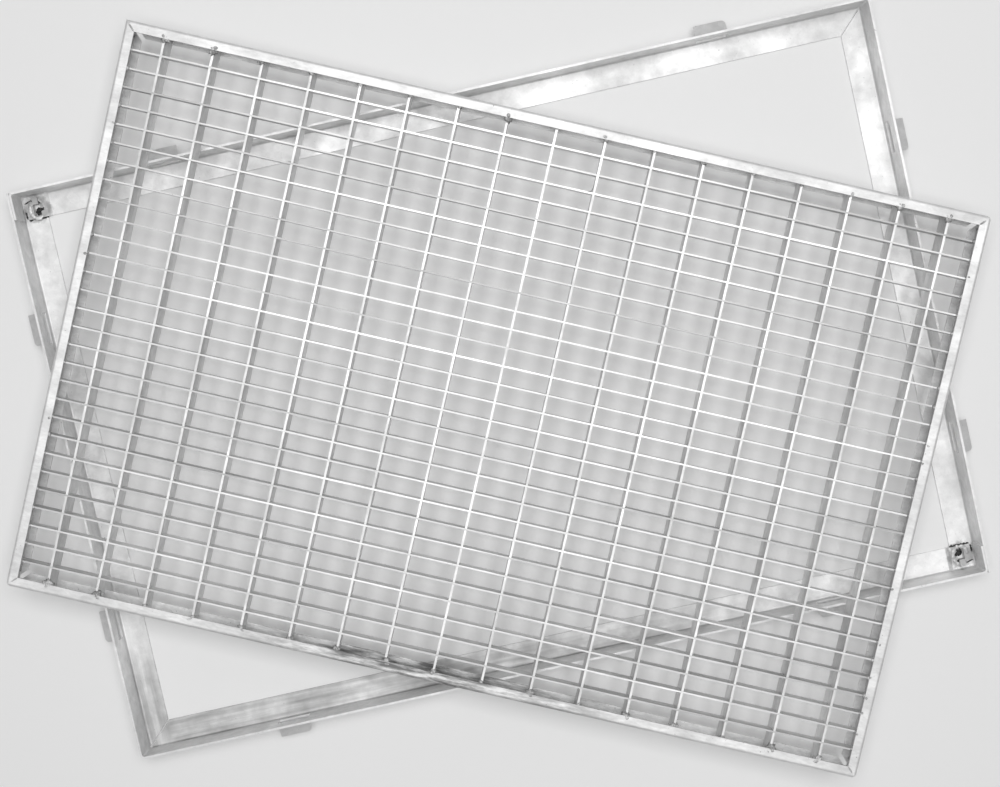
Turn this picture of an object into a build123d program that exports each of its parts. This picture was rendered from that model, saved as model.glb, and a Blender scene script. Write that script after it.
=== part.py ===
from build123d import *
import math
import os

# Galvanised pressed-lock steel grating lying across its sheet-steel mounting frame.
# Millimetres, +Z up. The origin is the middle of the frame on the ground it stands on.
# X runs along the frame's long side and Y along its short side.

os.makedirs("parts", exist_ok=True)

# ---- driving dimensions: mounting frame -------------------------------------
frame_length = 600.0          # outside, long side
frame_width = 400.0           # outside, short side
frame_height = 25.0           # ground to the top edge of the upright leg
frame_sheet = 1.5             # folded sheet thickness
frame_flange = 18.0           # seat flange, measured from the outside of the leg
frame_fold = 1.5              # inside radius of every fold in the frame
mitre_gap = 0.8               # open saw cut in the flange at the folded corner
plug_gap = 0.1                # sliding clearance between the two plugged halves
plug_tab = 19.0               # length of the tab that plugs inside the other half
joggle_gap = 1.0              # free space between the step and the other flange
joggle_run = 2.5              # length over which the lapping flange steps up

lock_width = 4.0              # locking tongue, across
lock_reach = 5.0              # locking tongue, folded-over length
lock_window = 7.5             # window the tongue is lanced out of
lock_from_end = 12.0          # outside of the frame to the middle of the tongue
lock_from_side = 8.5          # outside of the frame to the root of the tongue
lock_play = 0.5               # slot clearance around the tongue
lock_lift = 0.05              # air under the folded-over tongue

lug_width = 22.0              # anchor lug, along the side
lug_reach = 9.0               # anchor lug, out from the leg
lug_height = 14.0             # ground to the root of the lug, at the top of its window
lug_corner = 3.0              # rounded outer corners of the lug
lug_lean = 25.0               # degrees by which the lug slopes down, short of square to the leg
lug_spacing_long = 386.0      # between the two lugs of a long side
lug_spacing_short = 212.0     # between the two lugs of a short side

# ---- driving dimensions: grating --------------------------------------------
grate_length = 588.0          # outside, along the cross bars
grate_width = 387.0           # outside, along the bearing bars
edge_sheet = 1.5              # folded edging channel thickness
edge_flange = 7.0             # width of both flanges of the edging channel
edge_fold = 0.5               # inside radius of the edging folds
edge_bevel = 2.8              # cut-off at three of the four outer corners
edge_notch = 1.5              # each lower flange stops this far from its mitre

bearing_depth = 20.0          # upright height of the bearing bars
bearing_thickness = 1.5       # strip with its zinc
bearing_end_space = 27.36     # outside of the edging to the middle of the first bearing bar
bearing_count = 17
cross_depth = 10.0            # upright height of the cross bars
cross_thickness = 1.1         # strip with its zinc
cross_end_space = 18.5        # outside of the edging to the middle of the first cross bar
cross_count = 29
slot_play = 0.05              # clearance on each side of a pressed-in cross bar
end_gap = 0.5                 # bar ends stop this far short of the edging web

weld_rise = 0.8               # how far an outside bead stands proud of its bevel
weld_edge = 0.2               # bevel left bare on each side of the bead
weld_leg = 2.2                # leg of the inside fillet weld at the closed corner
weld_inset = 0.6              # beads stop this far short of top and bottom

# ---- driving dimensions: how the grating lies in the rest pose ---------------
lie_gap = 0.3                 # air between the frame's top edge and the grating
lie_turn = -25.5              # degrees about +Z from the frame's long side
lie_x = -6.0                  # middle of the grating, along X
lie_y = -10.8                 # middle of the grating, along Y

# ---- sizes that follow from the ones above -----------------------------------
grate_depth = bearing_depth + 2 * edge_sheet
fold_outer = frame_fold + frame_sheet
edge_fold_outer = edge_fold + edge_sheet
half_x = frame_length / 2
half_y = frame_width / 2
lap_top = 2 * frame_sheet
step_overlap = frame_sheet / 2          # the sloping step's leg reaches this far down its flange
root_half = math.sqrt(0.5)
bearing_pitch = (grate_length - 2 * bearing_end_space) / (bearing_count - 1)
cross_pitch = (grate_width - 2 * cross_end_space) / (cross_count - 1)


def turned(base, degrees):
    """The same plane turned about its own normal."""
    swing = math.radians(degrees)
    across = base.x_dir * math.cos(swing) + base.y_dir * math.sin(swing)
    return Plane(origin=base.origin, x_dir=across, z_dir=base.z_dir)


def local_plane(base, origin, x_dir, z_dir):
    """A plane given by a point and two directions measured in another plane."""
    place = base.from_local_coords(Vector(*origin))
    across = base.x_dir * x_dir[0] + base.y_dir * x_dir[1] + base.z_dir * x_dir[2]
    normal = base.x_dir * z_dir[0] + base.y_dir * z_dir[1] + base.z_dir * z_dir[2]
    return Plane(origin=place, x_dir=across, z_dir=normal)


def angle_section(plane, outside, floor):
    """Leg and flange of the frame, with the outside of the leg towards the plane's +X."""
    inner = outside - frame_flange
    leg = outside - frame_sheet
    bend = outside - fold_outer
    rise = floor + fold_outer
    outer_mid = (bend + fold_outer * root_half, rise - fold_outer * root_half)
    inner_mid = (bend + frame_fold * root_half, rise - frame_fold * root_half)
    with BuildSketch(plane) as section:
        with BuildLine():
            Line((inner, floor), (bend, floor))
            ThreePointArc((bend, floor), outer_mid, (outside, rise))
            Line((outside, rise), (outside, frame_height))
            Line((outside, frame_height), (leg, frame_height))
            Line((leg, frame_height), (leg, rise))
            ThreePointArc((leg, rise), inner_mid, (bend, floor + frame_sheet))
            Line((bend, floor + frame_sheet), (inner, floor + frame_sheet))
            Line((inner, floor + frame_sheet), (inner, floor))
        make_face()
    return section.sketch


def corner_ring(base, centre, quadrant, bottom):
    """Upright quarter bend that carries a leg round a corner."""
    reach = fold_outer / 2
    middle = (centre[0] + quadrant[0] * reach, centre[1] + quadrant[1] * reach)
    with BuildSketch(base.offset(bottom)) as ring:
        with Locations(centre):
            Circle(fold_outer)
            Circle(frame_fold, mode=Mode.SUBTRACT)
        with Locations(middle):
            Rectangle(fold_outer, fold_outer, mode=Mode.INTERSECT)
    extrude(ring.sketch, amount=frame_height - bottom)


def upright_plate(base, middle, size, bottom, top):
    """Plain upright plate given by its plan, its foot and its head."""
    with BuildSketch(base.offset(bottom)) as plan:
        with Locations(middle):
            Rectangle(size[0], size[1])
    extrude(plan.sketch, amount=top - bottom)


def plan_cut(base, middle, size, bottom, top):
    """Rectangular cut given by its plan, its foot and its head."""
    with BuildSketch(base.offset(bottom)) as plan:
        with Locations(middle):
            Rectangle(size[0], size[1])
    extrude(plan.sketch, amount=top - bottom, mode=Mode.SUBTRACT)


def anchor_lug(side_base, along, outside):
    """Tongue lanced out of the leg and bent outwards, with the window it leaves."""
    leg_middle = outside - frame_sheet / 2
    plan_cut(side_base, (along, leg_middle), (lug_width, 3 * frame_sheet),
             lug_height - lug_reach, lug_height)
    lean = math.radians(lug_lean)
    root = outside - frame_sheet
    plate = (outside + lug_reach - root - frame_sheet * math.sin(lean)) / math.cos(lean)
    lug_face = local_plane(side_base, (along, root, lug_height), (1, 0, 0),
                           (0, math.sin(lean), math.cos(lean)))
    with BuildSketch(lug_face) as lug_plan:
        with Locations((0, plate / 2)):
            Rectangle(lug_width, plate)
        fillet(lug_plan.vertices().sort_by_distance(lug_face.from_local_coords(Vector(0, 2 * plate, 0)))[:2],
               lug_corner)
    extrude(lug_plan.sketch, amount=frame_sheet)


# ---- the frame: two identical halves, each one long and one short side --------
lap_x = -half_x + frame_sheet + plug_gap             # outside face of the plugged tab
ring_x = lap_x + fold_outer                          # where the long leg starts its bend
joggle_x = -half_x + frame_flange + joggle_gap       # the lapping flange is raised up to here
lower_x = joggle_x + joggle_run                      # and lies on the ground from here
flange_end = half_y - frame_sheet - plug_gap         # the lapped flange stops here
tongue_x = half_x - lock_from_end
tongue_y = half_y - lock_from_side
tongue_top = lap_top + lock_lift + frame_sheet

for half_name, half_turn in (("frame_half_a", 0.0), ("frame_half_b", 180.0)):
    half_base = turned(Plane.XY, half_turn)

    with BuildPart() as frame_half:
        # long side, lying on the ground from the step to the folded corner
        long_plane = local_plane(half_base, (lower_x, 0, 0), (0, 1, 0), (1, 0, 0))
        extrude(angle_section(long_plane, half_y, 0.0), amount=half_x - fold_outer - lower_x)

        # long side, raised by one sheet where it laps over the other half
        lap_plane = local_plane(half_base, (ring_x, 0, 0), (0, 1, 0), (1, 0, 0))
        extrude(angle_section(lap_plane, half_y, frame_sheet), amount=joggle_x - ring_x)

        # the sloping step between the two, first the leg and then the flange
        with BuildSketch(local_plane(half_base, (0, half_y, 0), (1, 0, 0), (0, -1, 0))):
            with BuildLine():
                Polyline(
                    (joggle_x, lap_top - step_overlap),
                    (lower_x, frame_sheet - step_overlap),
                    (lower_x, frame_height),
                    (joggle_x, frame_height),
                    close=True,
                )
            make_face()
        extrude(amount=frame_sheet)
        with BuildSketch(local_plane(half_base, (0, half_y - frame_sheet, 0), (1, 0, 0), (0, -1, 0))):
            with BuildLine():
                Polyline(
                    (joggle_x, frame_sheet),
                    (lower_x, 0.0),
                    (lower_x, frame_sheet),
                    (joggle_x, lap_top),
                    close=True,
                )
            make_face()
        extrude(amount=frame_flange - frame_sheet)

        # short side, on the ground all the way to its end under the other half
        short_start = half_y - fold_outer
        short_plane = local_plane(half_base, (0, short_start, 0), (1, 0, 0), (0, -1, 0))
        extrude(angle_section(short_plane, half_x, 0.0), amount=short_start + flange_end)
        end_run = half_y - flange_end
        upright_plate(half_base, (half_x - frame_sheet / 2, -half_y + end_run / 2),
                      (frame_sheet, end_run), fold_outer, frame_height)

        # folded corner: the leg runs round it, the flange is cut open along its mitre
        corner_ring(half_base, (half_x - fold_outer, half_y - fold_outer), (1, 1), fold_outer)
        cut_run = (frame_flange - fold_outer) / root_half + 2 * fold_outer
        cut_middle = (frame_flange + fold_outer) / 2
        with BuildSketch(half_base.offset(-frame_sheet)):
            with Locations((half_x - cut_middle - fold_outer / 2, half_y - cut_middle - fold_outer / 2)):
                Rectangle(cut_run, mitre_gap, rotation=45)
        extrude(amount=2 * frame_sheet, mode=Mode.SUBTRACT)

        # plugged corner: the long leg turns inwards and runs down inside the other half
        corner_ring(half_base, (ring_x, half_y - fold_outer), (-1, 1), frame_sheet + fold_outer)
        tab_run = plug_tab - fold_outer
        upright_plate(half_base, (lap_x + frame_sheet / 2, half_y - fold_outer - tab_run / 2),
                      (frame_sheet, tab_run), frame_sheet + fold_outer, frame_height)

        # slot in the lapping flange for the locking tongue of the other half
        slot_far = tongue_y + frame_sheet + lock_play
        slot_near = tongue_y - lock_window - lock_play
        plan_cut(half_base, (-tongue_x, (slot_far + slot_near) / 2),
                 (lock_width + 2 * lock_play, slot_far - slot_near), frame_sheet / 2, lap_top + 1)

        # window in the lapped flange and the tongue lanced out of it
        plan_cut(half_base, (tongue_x, -tongue_y + lock_window / 2),
                 (lock_width, lock_window), -1, frame_sheet + 1)
        upright_plate(half_base, (tongue_x, -tongue_y - frame_sheet / 2),
                      (lock_width, frame_sheet), 0.0, tongue_top)
        upright_plate(half_base, (tongue_x, -tongue_y - lock_reach / 2),
                      (lock_width, lock_reach), tongue_top - frame_sheet, tongue_top)

        # anchor lugs, two on each side
        for lug_sign in (-1, 1):
            anchor_lug(half_base, lug_sign * lug_spacing_long / 2, half_y)
            anchor_lug(turned(half_base, -90.0), lug_sign * lug_spacing_short / 2, half_x)
    frame_half.part.label = half_name
    export_step(frame_half.part, "parts/" + half_name + ".step")

# ---- the grating --------------------------------------------------------------
grate_origin = Plane(origin=(lie_x, lie_y, frame_height + lie_gap), x_dir=(1, 0, 0), z_dir=(0, 0, 1))
grate_base = turned(grate_origin, lie_turn)


def mitre_cut(side_base, run, outside, sign, shift, start, bottom, top):
    """Cut away everything past a 45 degree line that starts at the outer corner."""
    corner = run / 2 - shift
    far = 3 * edge_flange
    with BuildSketch(side_base.offset(bottom)) as wedge:
        with BuildLine():
            Polyline(
                (sign * (corner - start), outside - start),
                (sign * (corner - far), outside - far),
                (sign * (run / 2 + far), outside - far),
                (sign * (run / 2 + far), outside - start),
                close=True,
            )
        make_face()
    extrude(wedge.sketch, amount=top - bottom, mode=Mode.SUBTRACT)


# edging: one folded channel on each side, open inwards, mitred at both ends
half_length = grate_length / 2
half_width = grate_width / 2
edge_sides = (
    ("edge_long_rear", 0.0, grate_length, half_width, 0, 1),
    ("edge_short_left", 90.0, grate_width, half_length, 1, 0),
    ("edge_long_front", 180.0, grate_length, half_width, 1, 1),
    ("edge_short_right", 270.0, grate_width, half_length, 1, 1),
)
for edge_name, edge_turn, run, outside, bevel_minus, bevel_plus in edge_sides:
    side_base = turned(grate_base, edge_turn)
    web = outside - edge_sheet
    lip = outside - edge_flange

    with BuildPart() as edge_strip:
        with BuildSketch(local_plane(side_base, (-run / 2, 0, 0), (0, 1, 0), (1, 0, 0))) as edge_section:
            with BuildLine():
                Polyline(
                    (lip, 0),
                    (outside, 0),
                    (outside, grate_depth),
                    (lip, grate_depth),
                    (lip, grate_depth - edge_sheet),
                    (web, grate_depth - edge_sheet),
                    (web, edge_sheet),
                    (lip, edge_sheet),
                    close=True,
                )
            make_face()
            inner_folds = edge_section.vertices().filter_by_position(Axis.X, web - 0.01, web + 0.01)
            fillet(inner_folds, edge_fold)
            outer_folds = edge_section.vertices().group_by(Axis.X)[-1]
            fillet(outer_folds, edge_fold_outer)
        extrude(amount=run)

        for sign, bevelled in ((-1, bevel_minus), (1, bevel_plus)):
            mitre_cut(side_base, run, outside, sign, 0.0, -1.0, -1.0, grate_depth + 1.0)
            notch_shift = edge_notch / root_half
            mitre_cut(side_base, run, outside, sign, notch_shift, edge_fold_outer, -1.0, edge_sheet)
            if bevelled:
                with BuildSketch(side_base.offset(-1.0)):
                    with BuildLine():
                        Polyline(
                            (sign * (run / 2 - edge_bevel - 2), outside + 2),
                            (sign * (run / 2 + 2), outside - edge_bevel - 2),
                            (sign * (run / 2 + 4), outside + 4),
                            close=True,
                        )
                    make_face()
                extrude(amount=grate_depth + 2, mode=Mode.SUBTRACT)
    edge_strip.part.label = edge_name
    export_step(edge_strip.part, "parts/" + edge_name + ".step")

# corner welds: a bead down each bevel, and an inside fillet weld at the closed corner
bead_half = edge_bevel * root_half - weld_edge
weld_corners = (
    ("corner_weld_front_left", -1, -1),
    ("corner_weld_front_right", 1, -1),
    ("corner_weld_rear_right", 1, 1),
)
for weld_name, sign_x, sign_y in weld_corners:
    face_x = sign_x * (half_length - edge_bevel / 2)
    face_y = sign_y * (half_width - edge_bevel / 2)
    weld_face = Plane(
        origin=grate_base.from_local_coords(Vector(face_x, face_y, edge_fold_outer)),
        x_dir=grate_base.x_dir * sign_x + grate_base.y_dir * sign_y,
        z_dir=grate_base.z_dir,
    )
    with BuildPart() as corner_weld:
        with BuildSketch(weld_face):
            with BuildLine():
                ThreePointArc((0, -bead_half), (weld_rise, 0), (0, bead_half))
                Line((0, bead_half), (0, -bead_half))
            make_face()
        extrude(amount=grate_depth - 2 * edge_fold_outer)
    corner_weld.part.label = weld_name
    export_step(corner_weld.part, "parts/" + weld_name + ".step")

inner_x = -half_length + edge_sheet
inner_y = half_width - edge_sheet
with BuildPart() as corner_weld_rear_left:
    with BuildSketch(grate_base.offset(edge_sheet + weld_inset)):
        with BuildLine():
            Polyline(
                (inner_x, inner_y),
                (inner_x + weld_leg, inner_y),
                (inner_x, inner_y - weld_leg),
                close=True,
            )
        make_face()
    extrude(amount=bearing_depth - 2 * weld_inset)
corner_weld_rear_left.part.label = "corner_weld_rear_left"
export_step(corner_weld_rear_left.part, "parts/corner_weld_rear_left.step")

# bearing bars: deep strips on edge across the grating, slotted from above
bearing_length = grate_width - 2 * (edge_sheet + end_gap)
slot_width = cross_thickness + 2 * slot_play
for index in range(bearing_count):
    bar_name = f"bearing_bar_{index + 1:02d}"
    bar_x = (index - (bearing_count - 1) / 2) * bearing_pitch
    bar_middle = edge_sheet + bearing_depth / 2
    with BuildPart() as bearing_bar:
        with BuildSketch(local_plane(grate_base, (bar_x, 0, bar_middle), (0, 1, 0), (1, 0, 0))):
            Rectangle(bearing_length, bearing_depth)
            with Locations((0, (bearing_depth - cross_depth) / 2)):
                with GridLocations(cross_pitch, 1, cross_count, 1):
                    Rectangle(slot_width, cross_depth, mode=Mode.SUBTRACT)
        extrude(amount=bearing_thickness / 2, both=True)
    bearing_bar.part.label = bar_name
    export_step(bearing_bar.part, "parts/" + bar_name + ".step")

# cross bars: shallow strips pressed into the slots, tops flush with the bearing bars
cross_length = grate_length - 2 * (edge_sheet + end_gap)
for index in range(cross_count):
    bar_name = f"cross_bar_{index + 1:02d}"
    bar_y = ((cross_count - 1) / 2 - index) * cross_pitch
    bar_middle = edge_sheet + bearing_depth - cross_depth / 2
    with BuildPart() as cross_bar:
        with BuildSketch(local_plane(grate_base, (0, bar_y, bar_middle), (1, 0, 0), (0, -1, 0))):
            Rectangle(cross_length, cross_depth)
        extrude(amount=cross_thickness / 2, both=True)
    cross_bar.part.label = bar_name
    export_step(cross_bar.part, "parts/" + bar_name + ".step")
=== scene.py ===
import math
import random

import bmesh
import bpy
from mathutils import Matrix, Vector, noise


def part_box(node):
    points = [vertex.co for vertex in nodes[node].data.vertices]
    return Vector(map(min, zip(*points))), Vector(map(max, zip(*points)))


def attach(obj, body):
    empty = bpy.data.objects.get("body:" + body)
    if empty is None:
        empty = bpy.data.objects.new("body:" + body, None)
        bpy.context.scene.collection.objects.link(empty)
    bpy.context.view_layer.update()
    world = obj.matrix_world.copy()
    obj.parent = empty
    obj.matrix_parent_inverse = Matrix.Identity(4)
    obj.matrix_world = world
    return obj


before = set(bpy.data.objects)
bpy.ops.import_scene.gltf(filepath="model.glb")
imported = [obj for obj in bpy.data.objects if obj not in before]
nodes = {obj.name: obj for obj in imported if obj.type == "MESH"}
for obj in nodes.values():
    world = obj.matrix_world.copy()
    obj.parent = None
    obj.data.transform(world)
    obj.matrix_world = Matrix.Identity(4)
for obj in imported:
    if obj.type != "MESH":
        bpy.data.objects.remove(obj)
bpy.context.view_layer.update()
MM = 0.001

BEARING_COUNT = 17
CROSS_COUNT = 29
EDGE_FLANGE = 7.0        # width of the edging's flanges, mm
EDGE_SHEET = 1.5         # edging sheet, mm
EDGE_DEPTH = 23.0        # edging height, mm
BAR_TOP = 21.5           # bar tops above the edging's underside, mm
BEARING_HALF = 0.75      # half a bearing bar's thickness, mm
CROSS_HALF = 0.55        # half a cross bar's thickness, mm
HALF_LENGTH = 294.0      # middle of the grating to the outside of its short edging, mm
HALF_WIDTH = 193.5       # middle of the grating to the outside of its long edging, mm
FRAME_SHEET = 1.5        # sheet of the frame, mm
LAP_TOP = 3.0            # top of a frame flange that laps over the other, mm
LOCKS = ((-288.0, 188.5), (288.0, -188.5))   # middles of the two lock slots, mm

# ---- where the grating lies, read from the CAD bars -----------------------------


def middle(node):
    low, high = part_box(node)
    return (low + high) / 2


first_bearing = middle("bearing_bar_01")
last_bearing = middle(f"bearing_bar_{BEARING_COUNT:02d}")
first_cross = middle("cross_bar_01")
last_cross = middle(f"cross_bar_{CROSS_COUNT:02d}")
along = (last_bearing - first_bearing).normalized()
across = (first_cross - last_cross).normalized()
grate_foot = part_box("edge_long_rear")[0].z
grate_centre = (first_bearing + last_bearing) / 2
grate_centre.z = grate_foot
BEARING_PITCH = (last_bearing - first_bearing).length / (BEARING_COUNT - 1) / MM
CROSS_PITCH = (first_cross - last_cross).length / (CROSS_COUNT - 1) / MM
GRATE = Matrix((
    (along.x, across.x, 0.0, grate_centre.x),
    (along.y, across.y, 0.0, grate_centre.y),
    (0.0, 0.0, 1.0, grate_centre.z),
    (0.0, 0.0, 0.0, 1.0),
))
FRAME = Matrix.Identity(4)
GRATE_TURN = -math.atan2(along.y, along.x)   # turns the grating's length onto X


def bearing_x(index):
    """Where a bearing bar's middle is along the grating, mm, counted from 0."""
    return (index - (BEARING_COUNT - 1) / 2) * BEARING_PITCH


def cross_y(index):
    """Where a cross bar's middle is across the grating, mm, counted from 0."""
    return ((CROSS_COUNT - 1) / 2 - index) * CROSS_PITCH


# ---- materials -------------------------------------------------------------------


class Graph:
    """Builds a node tree. A socket is given as (node, name of its output)."""

    def __init__(self, name):
        self.material = bpy.data.materials.new(name)
        self.material.use_nodes = True
        self.tree = self.material.node_tree
        self.tree.nodes.clear()
        self.out = self.add("ShaderNodeOutputMaterial")
        self.shader = self.add("ShaderNodeBsdfPrincipled")
        self.link(self.shader, "BSDF", self.out, "Surface")
        self.coords = self.add("ShaderNodeTexCoord")

    def add(self, kind, **values):
        node = self.tree.nodes.new(kind)
        for key, value in values.items():
            setattr(node, key, value)
        return node

    def link(self, source, output, target, socket):
        self.tree.links.new(source.outputs[output], target.inputs[socket])

    def place(self, turn=0.0, stretch=(1.0, 1.0, 1.0)):
        """Object coordinates, turned about Z first and then scaled."""
        spun = self.add("ShaderNodeMapping")
        spun.inputs["Rotation"].default_value = (0.0, 0.0, turn)
        self.link(self.coords, "Object", spun, "Vector")
        stretched = self.add("ShaderNodeMapping")
        stretched.inputs["Scale"].default_value = stretch
        self.link(spun, "Vector", stretched, "Vector")
        return stretched

    def noise(self, scale, detail=4.0, rough=0.55, source=None):
        node = self.add("ShaderNodeTexNoise")
        node.inputs["Scale"].default_value = scale
        node.inputs["Detail"].default_value = detail
        node.inputs["Roughness"].default_value = rough
        if source is None:
            self.link(self.coords, "Object", node, "Vector")
        else:
            self.link(source, "Vector", node, "Vector")
        return node

    def span(self, source, output, low, high, to_low=0.0, to_high=1.0):
        node = self.add("ShaderNodeMapRange")
        node.clamp = True
        node.inputs["From Min"].default_value = low
        node.inputs["From Max"].default_value = high
        node.inputs["To Min"].default_value = to_low
        node.inputs["To Max"].default_value = to_high
        self.link(source, output, node, "Value")
        return node

    def mix(self, factor, factor_out, one, two, blend="MIX", amount=1.0):
        node = self.add("ShaderNodeMix", data_type="RGBA", blend_type=blend)
        if factor is None:
            node.inputs[0].default_value = amount
        else:
            self.link(factor, factor_out, node, 0)
        for index, value in ((6, one), (7, two)):
            if len(value) == 2:
                self.tree.links.new(value[0].outputs[value[1]], node.inputs[index])
            else:
                node.inputs[index].default_value = (value[0], value[1], value[2], 1.0)
        return node

    def math(self, operation, one, two):
        node = self.add("ShaderNodeMath", operation=operation)
        for index, value in ((0, one), (1, two)):
            if isinstance(value, tuple):
                self.tree.links.new(value[0].outputs[value[1]], node.inputs[index])
            else:
                node.inputs[index].default_value = value
        return node


def grey(level):
    return (level, level, level)


METAL = 0.70             # how metallic the zinc is
CLOUD_SPAN = (0.38, 0.66)
SPANGLE_SCALE = 150.0
PIT_SCALE = 620.0
PIT_SPAN = (0.70, 0.78)
PIT_SHADE = 0.55         # a pit's grey as a share of the dull grey
RELIEF = 0.0006          # height of the waves in the coat, m


def zinc(name, bright, dull, rough, mottle, metal=METAL, turn=0.0, stretch=(1.0, 1.0, 1.0),
         bump=0.25, darkening=None):
    """Hot-dip zinc: soft mottling, faint spangle, fine grain, small pits, waves in the coat."""
    g = Graph(name)
    place = g.place(turn, stretch)
    clouds = g.noise(mottle, 5.0, 0.62, place)
    grain = g.noise(mottle * 9.0, 3.0, 0.6, place)
    pits = g.noise(PIT_SCALE, 2.0, 0.5)
    spangle = g.add("ShaderNodeTexVoronoi")
    spangle.inputs["Scale"].default_value = SPANGLE_SCALE
    g.link(g.coords, "Object", spangle, "Vector")

    cloud_mask = g.span(clouds, "Fac", *CLOUD_SPAN)
    base = g.mix(cloud_mask, "Result", grey(dull), grey(bright))
    spangle_mask = g.span(spangle, "Color", 0.0, 1.0, 0.90, 1.06)
    spangled = g.mix(None, None, (base, "Result"), (spangle_mask, "Result"), "MULTIPLY", 0.5)
    grain_mask = g.span(grain, "Fac", 0.35, 0.70, 0.90, 1.05)
    grained = g.mix(None, None, (spangled, "Result"), (grain_mask, "Result"), "MULTIPLY", 0.8)
    pit_mask = g.span(pits, "Fac", *PIT_SPAN)
    colour = g.mix(pit_mask, "Result", (grained, "Result"), grey(dull * PIT_SHADE))
    # an optional darkening laid over the colour; on the frame it is partly painted shade
    if darkening is not None:
        colour = darkening(g, colour)
    g.link(colour, "Result", g.shader, "Base Color")

    rough_mask = g.span(clouds, "Fac", 0.3, 0.7, rough + 0.10, rough - 0.08)
    g.link(rough_mask, "Result", g.shader, "Roughness")
    g.shader.inputs["Metallic"].default_value = metal
    height = g.math("ADD", (grain, "Fac"), (clouds, "Fac"))
    relief = g.add("ShaderNodeBump")
    relief.inputs["Strength"].default_value = bump
    relief.inputs["Distance"].default_value = RELIEF
    g.link(height, "Value", relief, "Height")
    g.link(relief, "Normal", g.shader, "Normal")
    return g.material


FRONT_RISE = (-0.16, -0.05)      # along the grating, where the front darkening comes in, m
FRONT_FALL = (0.16, 0.02)        # and where it goes out
FRONT_STRETCH = (0.25, 1.6, 1.6)
FRONT_DARK_GREY = 0.20


def front_darkening(g, colour):
    """Darker streaks about the middle of the front edging."""
    place = g.place(GRATE_TURN)
    split = g.add("ShaderNodeSeparateXYZ")
    g.link(place, "Vector", split, "Vector")
    rise = g.span(split, "X", *FRONT_RISE)
    fall = g.span(split, "X", *FRONT_FALL)
    band = g.math("MULTIPLY", (rise, "Result"), (fall, "Result"))
    streaks = g.noise(150.0, 5.0, 0.65, g.place(GRATE_TURN, FRONT_STRETCH))
    streak_mask = g.span(streaks, "Fac", 0.40, 0.60)
    amount = g.math("MULTIPLY", (band, "Value"), (streak_mask, "Result"))
    return g.mix(amount, "Value", (colour, "Result"), grey(FRONT_DARK_GREY))


FLANGE_SLANT = 0.15                # the painted shade on the flange runs this much out of square
FLANGE_NEAR = (-0.155, -0.205)     # where the flange's painted shade comes in, towards the front, m
FLANGE_LEVEL = (0.0035, 0.0025)    # the painted shade stays on the flange, below this height, m
SHORT_SIDE = (0.281, 0.283)        # the short flanges lie further out than this, m
LOCK_REACH = (0.0155, 0.0125)      # the grey round a lock ends here, m
LOCK_RAGGED = 0.010                # how far its edge wanders, m
# grey of the painted shade at the front of the flange, and of the grey zinc round the locks
FRAME_SHADE_AND_LOCK_GREY = 0.36


def frame_front_shade_and_lock_grey(g, colour):
    """Painted shade: the frame's flange darkens, in streaks, towards the front, where it shows a
    darker reflection; and it is grey round its two locks.
    """
    split = g.add("ShaderNodeSeparateXYZ")
    g.link(g.coords, "Object", split, "Vector")
    slant = g.math("MULTIPLY", (split, "X"), FLANGE_SLANT)
    total = g.math("ADD", (slant, "Value"), (split, "Y"))
    near = g.span(total, "Value", *FLANGE_NEAR)
    flat = g.span(split, "Z", *FLANGE_LEVEL)
    patches = g.noise(22.0, 4.0, 0.6)
    streaks_long = g.noise(90.0, 4.0, 0.6, g.place(0.0, (0.12, 2.2, 1.0)))
    streaks_short = g.noise(90.0, 4.0, 0.6, g.place(0.0, (2.2, 0.12, 1.0)))
    sideways = g.math("ABSOLUTE", (split, "X"), 0.0)
    on_short = g.span(sideways, "Value", *SHORT_SIDE)
    streaks = g.mix(on_short, "Result", (streaks_long, "Fac"), (streaks_short, "Fac"))
    both = g.math("ADD", (patches, "Fac"), (streaks, "Result"))
    patch_mask = g.span(both, "Value", 0.80, 1.20, 0.15, 0.95)
    spread = g.math("MULTIPLY", (near, "Result"), (patch_mask, "Result"))
    amount = g.math("MULTIPLY", (spread, "Value"), (flat, "Result"))
    # painted shade: darker towards the front of the flange, laid on in streaks
    front_shaded = g.mix(amount, "Value", (colour, "Result"), grey(FRAME_SHADE_AND_LOCK_GREY))
    reaches = []
    for x, y in LOCKS:
        reach = g.add("ShaderNodeVectorMath", operation="DISTANCE")
        g.link(g.coords, "Object", reach, 0)
        reach.inputs[1].default_value = (x * MM, y * MM, LAP_TOP * MM)
        reaches.append((reach, "Value"))
    nearest = g.math("MINIMUM", *reaches)
    ragged = g.noise(180.0, 4.0, 0.6)
    wave = g.math("MULTIPLY", (ragged, "Fac"), LOCK_RAGGED)
    edge = g.math("ADD", (nearest, "Value"), (wave, "Value"))
    lock = g.span(edge, "Value", *LOCK_REACH, 0.0, 0.85)
    return g.mix(lock, "Result", (front_shaded, "Result"), grey(FRAME_SHADE_AND_LOCK_GREY))


# name, bright grey, dull grey, roughness, scale of the mottling
frame_zinc = zinc("frame_zinc", 0.88, 0.76, 0.58, 20.0, darkening=frame_front_shade_and_lock_grey)
edging_zinc = zinc("edging_zinc", 0.93, 0.80, 0.60, 42.0, turn=GRATE_TURN,
                   stretch=(0.6, 1.4, 1.4))
edging_front_zinc = zinc("edging_front_zinc", 0.93, 0.78, 0.60, 44.0, turn=GRATE_TURN,
                         stretch=(0.6, 1.4, 1.4), darkening=front_darkening)
bearing_zinc = zinc("bearing_bar_zinc", 0.88, 0.72, 0.54, 40.0, turn=GRATE_TURN,
                    stretch=(1.0, 0.5, 1.0))
cross_zinc = zinc("cross_bar_zinc", 0.88, 0.54, 0.52, 40.0, turn=GRATE_TURN,
                  stretch=(0.08, 3.0, 0.5))
weld_zinc = zinc("weld_zinc", 0.84, 0.40, 0.50, 190.0, bump=0.7)
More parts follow.
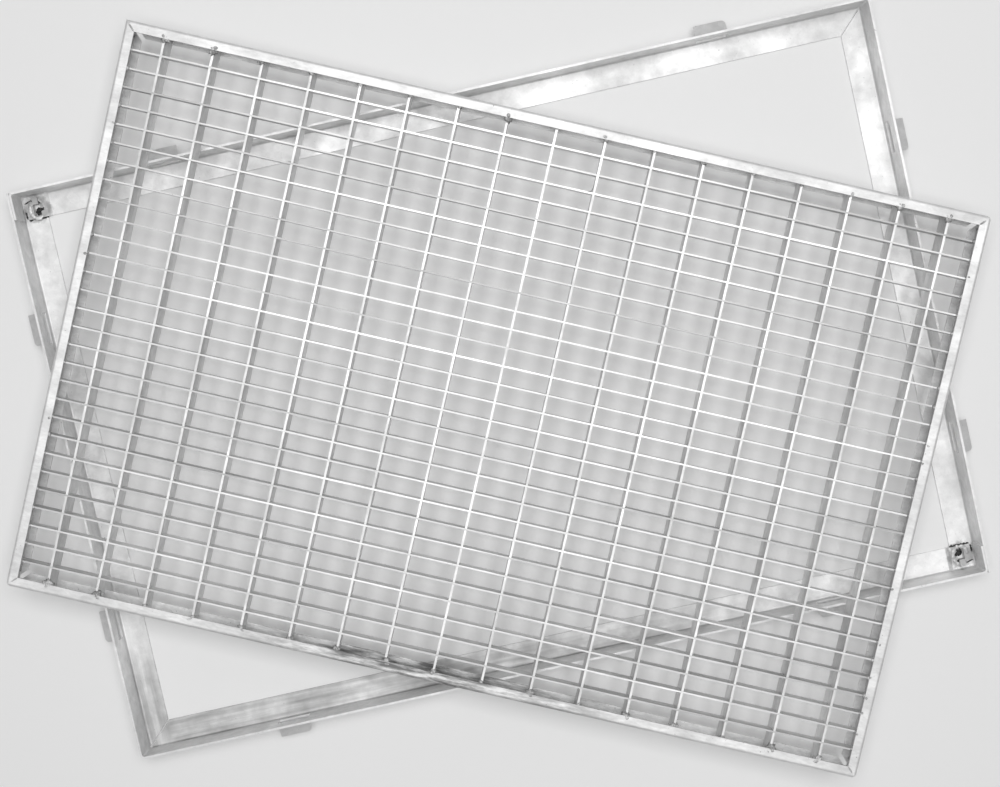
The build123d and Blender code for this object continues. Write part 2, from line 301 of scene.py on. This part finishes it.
lock_zinc = zinc("lock_zinc", 0.70, 0.46, 0.50, 140.0, bump=0.4)
# near-black and not metallic: painted shade for the shadowed holes of the locks and the shadow gaps
# at the lapped flange ends
lock_shade_black = zinc("lock_shade_black", 0.06, 0.025, 0.70, 160.0, metal=0.0, bump=0.5)
run_zinc = zinc("run_zinc", 0.74, 0.64, 0.42, 120.0, bump=0.3)


def dress(node, material):
    nodes[node].data.materials.clear()
    nodes[node].data.materials.append(material)


for node in nodes:
    if node.startswith("frame_half"):
        dress(node, frame_zinc)
    elif node == "edge_long_front":
        dress(node, edging_front_zinc)
    elif node.startswith("edge_"):
        dress(node, edging_zinc)
    elif node.startswith("bearing_bar"):
        dress(node, bearing_zinc)
    elif node.startswith("cross_bar"):
        dress(node, cross_zinc)
    else:
        dress(node, weld_zinc)

# ---- pieces made in mesh code ------------------------------------------------------


def finish_piece(name, bm, axes, body, material):
    """Turns a bmesh in millimetres, in the grating's or the frame's own axes, into a piece."""
    bmesh.ops.recalc_face_normals(bm, faces=bm.faces)
    mesh = bpy.data.meshes.new(name)
    bm.to_mesh(mesh)
    bm.free()
    mesh.transform(Matrix.Scale(MM, 4))
    mesh.transform(axes)
    for polygon in mesh.polygons:
        polygon.use_smooth = True
    piece = bpy.data.objects.new(name, mesh)
    bpy.context.scene.collection.objects.link(piece)
    piece.data.materials.append(material)
    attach(piece, body)


def blob(bm, centre, radii, turn, rng, rough=0.28, detail=2.2, levels=3):
    """An uneven bead of weld metal or zinc."""
    made = bmesh.ops.create_icosphere(bm, subdivisions=levels, radius=1.0)
    shift = Vector((rng.uniform(-50, 50), rng.uniform(-50, 50), rng.uniform(-50, 50)))
    spin = Matrix.Rotation(turn, 3, "Z")
    size = Vector(radii)
    place = Vector(centre)
    for vert in made["verts"]:
        swell = 1.0 + rough * noise.noise(vert.co * detail + shift)
        swell += 0.35 * rough * noise.noise(vert.co * detail * 3.1 + shift)
        local = Vector((vert.co.x * size.x, vert.co.y * size.y, vert.co.z * size.z)) * swell
        vert.co = spin @ local + place


def prism(bm, rings):
    """A closed solid through matching rings of points, capped at both ends."""
    made = [[bm.verts.new(point) for point in ring] for ring in rings]
    count = len(made[0])
    for lower, upper in zip(made, made[1:]):
        for i in range(count):
            j = (i + 1) % count
            bm.faces.new((lower[i], lower[j], upper[j], upper[i]))
    bm.faces.new(list(reversed(made[0])))
    bm.faces.new(made[-1])


def web(bm, corner, reach, top, drop):
    """Zinc that has filled the corner between two bars and run down it."""
    x, y = corner
    rx, ry = reach
    sx = math.copysign(1.0, rx)
    sy = math.copysign(1.0, ry)
    bury = 0.25
    rings = []
    steps = 5
    for k in range(steps + 1):
        t = k / steps                # 0 at the top, 1 where the run ends
        share = (1.0 - 0.75 * t ** 1.5) * (0.55 + 0.45 * min(1.0, 3 * t + 0.2))
        px, py = rx * share, ry * share
        curve = []
        for c in range(5):
            u = c / 4
            sink = 0.42 * math.sin(math.pi * u)
            curve.append((x + px * (1 - u) * (1 - sink * 0.6), y + py * u * (1 - sink * 0.6)))
        ring = [(x - sx * bury, y - sy * bury), (x + px, y - sy * bury)]
        ring += curve
        ring += [(x - sx * bury, y + py)]
        rings.append([(a, b, top - drop * t) for a, b in ring])
    if sx * sy < 0:
        rings = [list(reversed(r)) for r in rings]
    prism(bm, rings)


def ridge(bm, points, half_width, height, rng, sides=7, wobble=0.18, step=0.8):
    """A low weld or zinc ridge that lies on a surface along a path."""
    rings = []
    path = []
    for a, b in zip(points, points[1:]):
        a, b = Vector(a), Vector(b)
        parts = max(1, int((b - a).length / step))
        path += [a.lerp(b, i / parts) for i in range(parts)]
    path.append(Vector(points[-1]))
    shift = rng.uniform(-50, 50)
    for i, point in enumerate(path):
        ahead = path[min(i + 1, len(path) - 1)] - path[max(i - 1, 0)]
        ahead.z = 0.0
        ahead.normalize()
        side = Vector((-ahead.y, ahead.x, 0.0))
        end = min(i, len(path) - 1 - i) * step
        taper = min(1.0, 0.25 + end / (2.2 * half_width))
        ripple = 1.0 + wobble * noise.noise(Vector((i * step * 0.9, shift, 0.0)))
        ring = []
        for k in range(sides + 1):
            angle = math.pi * k / sides
            ring.append(point + side * (math.cos(angle) * half_width * taper * ripple)
                        + Vector((0, 0, math.sin(angle) * height * taper * ripple)))
        ring.append(point - side * half_width * taper * 0.6 - Vector((0, 0, 0.3)))
        ring.append(point + side * half_width * taper * 0.6 - Vector((0, 0, 0.3)))
        rings.append([tuple(p) for p in ring])
    prism(bm, rings)


# weld metal where the bearing bars meet the two long edgings
for side_name, side in (("rear", 1), ("front", -1)):
    rng = random.Random(f"bearing ends {side_name}")
    bm = bmesh.new()
    for index in range(BEARING_COUNT):
        x = bearing_x(index)
        lip = side * (HALF_WIDTH - EDGE_FLANGE)
        outer = index in (0, 1, BEARING_COUNT - 2, BEARING_COUNT - 1)
        size = rng.uniform(1.9, 2.8) if outer or rng.random() < 0.35 else rng.uniform(1.1, 1.6)
        if side == 1 and not outer and rng.random() < 0.35:
            size *= 0.7
        lean = rng.uniform(-0.6, 0.6)
        blob(bm, (x + lean, lip - side * 0.2, BAR_TOP - 0.2),
             (size * rng.uniform(0.9, 1.25), size * rng.uniform(0.9, 1.3), size * 0.62),
             rng.uniform(-0.5, 0.5), rng, rough=0.75, detail=2.8)
        if outer:
            for _ in range(3):
                blob(bm, (x + rng.uniform(-3.2, 3.2), lip + side * rng.uniform(-1.5, 2.2),
                          BAR_TOP + 0.2),
                     (rng.uniform(0.8, 1.7), rng.uniform(0.8, 1.6), rng.uniform(1.0, 1.5)),
                     rng.uniform(-0.8, 0.8), rng, rough=0.8, detail=2.8)
        if outer or rng.random() < 0.5:
            blob(bm, (x + lean + rng.uniform(-1.8, 1.8), lip + side * rng.uniform(0.6, 1.6),
                      EDGE_DEPTH - 0.1),
                 (rng.uniform(0.9, 1.9), rng.uniform(0.7, 1.3), rng.uniform(0.3, 0.55)),
                 rng.uniform(-0.8, 0.8), rng)
        blob(bm, (x + rng.uniform(-0.4, 0.4), lip + side * 2.6, BAR_TOP - 9.0),
             (1.7, 2.4, 8.0), 0.0, rng, rough=0.2)
    finish_piece(f"bar_end_welds_{side_name}", bm, GRATE, "grating", weld_zinc)

# zinc left at the ends of the cross bars on the two short edgings
for side_name, side in (("left", -1), ("right", 1)):
    rng = random.Random(f"cross ends {side_name}")
    bm = bmesh.new()
    for index in range(CROSS_COUNT):
        y = cross_y(index)
        lip = side * (HALF_LENGTH - EDGE_FLANGE)
        size = rng.uniform(0.8, 1.2)
        if rng.random() < 0.22:
            size = rng.uniform(1.3, 1.9)
        blob(bm, (lip, y + rng.uniform(-0.2, 0.2), BAR_TOP - 0.15),
             (size * 1.1, size, size * 0.7), 0.0, rng, levels=2)
        if rng.random() < 0.16:
            blob(bm, (lip + side * rng.uniform(0.4, 1.6), y + rng.uniform(-1.5, 1.5),
                      EDGE_DEPTH - 0.1),
                 (rng.uniform(0.7, 1.3), rng.uniform(0.6, 1.1), rng.uniform(0.3, 0.5)),
                 rng.uniform(-0.8, 0.8), rng, levels=2)
    finish_piece(f"bar_end_zinc_{side_name}", bm, GRATE, "grating", weld_zinc)

# zinc webs in the corners where bars cross
rng = random.Random("crossings")
bm = bmesh.new()
for i in range(BEARING_COUNT):
    for j in range(CROSS_COUNT):
        for sx in (-1, 1):
            for sy in (-1, 1):
                if rng.random() > 0.62:
                    continue
                reach = rng.uniform(0.35, 0.8)
                if rng.random() < 0.06:
                    reach = rng.uniform(1.2, 2.2)
                web(bm, (bearing_x(i) + sx * BEARING_HALF, cross_y(j) + sy * CROSS_HALF),
                    (sx * reach, sy * reach * rng.uniform(0.7, 1.2)),
                    BAR_TOP - rng.uniform(0.05, 0.4), rng.uniform(3.0, 9.6))
finish_piece("crossing_webs", bm, GRATE, "grating", run_zinc)


def film(bm, cell, reach, thickness, depth):
    """A thin film of zinc left across one corner of a cell, its free edge curved."""
    index, row, sx, sy = cell
    x = bearing_x(index) + sx * (BEARING_HALF - 0.2)
    y = cross_y(row) + sy * (CROSS_HALF - 0.2)
    steps = 9
    rings = []
    for level in (0.0, thickness):
        ring = [(x, y, depth + level), (x + sx * reach[0], y, depth + level)]
        for k in range(1, steps):
            u = k / steps
            hollow = 1.0 - 0.52 * math.sin(math.pi * u)
            ring.append((x + sx * reach[0] * (1 - u) * hollow, y + sy * reach[1] * u * hollow,
                         depth + level - 0.5 * math.sin(math.pi * u)))
        ring.append((x, y + sy * reach[1], depth + level))
        rings.append(ring if sx * sy > 0 else list(reversed(ring)))
    prism(bm, rings)


bm = bmesh.new()
film(bm, (9, 2, -1, 1), (6.0, 6.5), 0.35, 17.5)
film(bm, (5, 6, 1, 1), (3.6, 3.2), 0.35, 18.6)
film(bm, (11, 19, -1, -1), (3.0, 3.6), 0.35, 18.4)
film(bm, (3, 23, 1, -1), (3.2, 3.0), 0.35, 18.8)
film(bm, (15, 12, -1, 1), (3.4, 3.4), 0.35, 18.2)
finish_piece("corner_films", bm, GRATE, "grating", run_zinc)

# zinc gathered in the foot of the edging, where web and lower flange meet
for name, start, end, normal in (
    ("left", (-1, -1), (-1, 1), (1, 0)),
    ("right", (1, 1), (1, -1), (-1, 0)),
):
    rng = random.Random(f"foot {name}")
    bm = bmesh.new()
    web_x = HALF_LENGTH - EDGE_SHEET
    web_y = HALF_WIDTH - EDGE_SHEET
    a = Vector((start[0] * web_x, start[1] * web_y, EDGE_SHEET))
    b = Vector((end[0] * web_x, end[1] * web_y, EDGE_SHEET))
    ahead = (b - a).normalized()
    inward = Vector((normal[0], normal[1], 0))
    a += ahead * 5.0
    b -= ahead * 5.0
    count = int((b - a).length / 2.5)
    rings = []
    shift = rng.uniform(-40, 40)
    for k in range(count + 1):
        point = a.lerp(b, k / count)
        leg = 0.95 + 0.30 * noise.noise(Vector((k * 0.35, shift, 0.0)))
        ring = [point - inward * 0.2 - Vector((0, 0, 0.2)),
                point + inward * leg - Vector((0, 0, 0.2))]
        for c in range(5):
            u = c / 4 * math.pi / 2
            rise = Vector((0, 0, leg * (1 - math.cos(u))))
            ring.append(point + inward * leg * (1 - math.sin(u)) + rise)
        ring.append(point - inward * 0.2 + Vector((0, 0, leg)))
        rings.append([tuple(p) for p in ring])
    prism(bm, rings)
    finish_piece(f"foot_zinc_{name}", bm, GRATE, "grating", run_zinc)

# seams on top of the mitres
rng = random.Random("mitres")
bm = bmesh.new()
for sx, sy, start in ((-1, 1, 1.6), (-1, -1, 3.4), (1, -1, 3.4), (1, 1, 3.4)):
    outer = Vector((sx * (HALF_LENGTH - start), sy * (HALF_WIDTH - start), EDGE_DEPTH))
    inner = Vector((sx * (HALF_LENGTH - EDGE_FLANGE + 0.1),
                    sy * (HALF_WIDTH - EDGE_FLANGE + 0.1), EDGE_DEPTH))
    ridge(bm, (outer, inner), rng.uniform(0.5, 0.7), rng.uniform(0.2, 0.3), rng, step=0.5)
finish_piece("mitre_seams", bm, GRATE, "grating", weld_zinc)

# painted shade: near-black blobs in the two locks of the frame, where its slots and holes lie in
# shadow, and near-black ridges along the ends of its lapped flanges, where the step casts a shadow
# gap
LOCK_SHADE_BLOBS = (
    # from the slot's middle, half sizes, turn, roughness, detail
    ((0.3, -2.2), 1.0, (1.9, 3.0, 0.8), 0.0, 0.35, 2.2),
    ((2.2, -1.2), 2.9, (3.1, 1.2, 0.4), 0.25, 0.7, 3.0),
    ((0.4, 4.6), 3.1, (3.0, 0.9, 0.5), -0.35, 0.7, 3.0),
    ((-5.2, 5.6), 3.0, (2.6, 0.5, 0.3), 0.3, 0.4, 2.2),
)
LAP_SHADOW_RIDGES = (
    # path from the slot in x and from the frame's middle in y, height of its foot, half width, rise
    (((6.5, 181.6), (-7.6, 181.6)), FRAME_SHEET, 0.75, 0.55),
    (((-8.0, 182.6), (-8.3, 188.0)), LAP_TOP - 0.1, 0.6, 0.3),
)
rng = random.Random("locks")
bm = bmesh.new()
for x, y in LOCKS:
    side = 1 if y > 0 else -1
    for (dx, dy), z, radii, spin, rough, detail in LOCK_SHADE_BLOBS:
        blob(bm, (x + side * dx, y + side * dy, z), radii, spin, rng, rough=rough, detail=detail)
    for points, z, half_width, rise in LAP_SHADOW_RIDGES:
        path = [(x + side * dx, side * dy, z) for dx, dy in points]
        ridge(bm, path, half_width, rise, rng, wobble=1.3, step=0.6)
finish_piece("lock_painted_shade", bm, FRAME, "mounting_frame", lock_shade_black)

# zinc that has swollen round each lock slot, mm
SWELL_RADII = (5.2, 6.4)
SWELL_SHIFT = 0.4        # the ring's middle lies this much nearer the front than the slot's
SWELL_FOOT = 2.95
SWELL_STEPS = 14         # in a full turn; the ring stops two of them short of one
bm = bmesh.new()
for x, y in LOCKS:
    angles = [step / SWELL_STEPS * math.tau for step in range(SWELL_STEPS - 1)]
    ring = [Vector((x + SWELL_RADII[0] * math.cos(angle),
                    y - SWELL_SHIFT + SWELL_RADII[1] * math.sin(angle), SWELL_FOOT))
            for angle in angles]
    ridge(bm, [tuple(point) for point in ring], 1.4, 0.4, rng, wobble=0.9, step=0.7)
finish_piece("lock_swell", bm, FRAME, "mounting_frame", lock_zinc)

# ---- stage, light and camera ---------------------------------------------------------

FLOOR_HALF = 6.0         # m
FLOOR_DROP = 0.0002      # the floor lies this far under the frame, m
FLOOR_GREY = 0.88
AMBIENT = 0.28           # strength of the white light from all round
LIGHT_PLACE = (0.11, 0.22, 2.1)      # m
LIGHT_AIM = (0.03, 0.06, 0.0)
LIGHT_SIZE = 1.35        # m
LIGHT_POWER = 30.5       # W
FOCAL = 1468.35          # focal length, in thousandths of the picture's width
SENSOR = 36.0            # mm
CAMERA_PLACE = (0.01597, 0.03747, 1.02721)                   # m
CAMERA_TURN = {"Z": -0.2211, "Y": 0.0074, "X": -0.0467}     # about its own axes, radians

floor_mesh = bpy.data.meshes.new("floor")
floor_bm = bmesh.new()
bmesh.ops.create_grid(floor_bm, x_segments=1, y_segments=1, size=FLOOR_HALF)
floor_bm.to_mesh(floor_mesh)
floor_bm.free()
floor = bpy.data.objects.new("floor", floor_mesh)
floor.location = (0.0, 0.0, -FLOOR_DROP)
bpy.context.scene.collection.objects.link(floor)
floor_look = Graph("floor_look")
floor_look.shader.inputs["Base Color"].default_value = (*grey(FLOOR_GREY), 1.0)
floor_look.shader.inputs["Roughness"].default_value = 0.9
floor.data.materials.append(floor_look.material)

world = bpy.data.worlds.new("studio")
world.use_nodes = True
world.node_tree.nodes["Background"].inputs["Color"].default_value = (1.0, 1.0, 1.0, 1.0)
world.node_tree.nodes["Background"].inputs["Strength"].default_value = AMBIENT
bpy.context.scene.world = world

light_data = bpy.data.lights.new("overhead", "AREA")
light_data.shape = "SQUARE"
light_data.size = LIGHT_SIZE
light_data.energy = LIGHT_POWER
light = bpy.data.objects.new("overhead", light_data)
light.location = LIGHT_PLACE
aim = Vector(LIGHT_AIM) - Vector(LIGHT_PLACE)
light.rotation_euler = aim.to_track_quat("-Z", "Y").to_euler()
bpy.context.scene.collection.objects.link(light)

bpy.context.scene.view_settings.view_transform = "Standard"

camera_data = bpy.data.cameras.new("camera")
camera_data.sensor_width = SENSOR
camera_data.lens = FOCAL * SENSOR / 1000.0
camera_data.clip_start = 0.01
camera_data.clip_end = 50.0
camera = bpy.data.objects.new("camera", camera_data)
turn = Matrix.Identity(4)
for axis, angle in CAMERA_TURN.items():
    turn = turn @ Matrix.Rotation(angle, 4, axis)
camera.matrix_world = Matrix.Translation(CAMERA_PLACE) @ turn
bpy.context.scene.collection.objects.link(camera)
bpy.context.scene.camera = camera
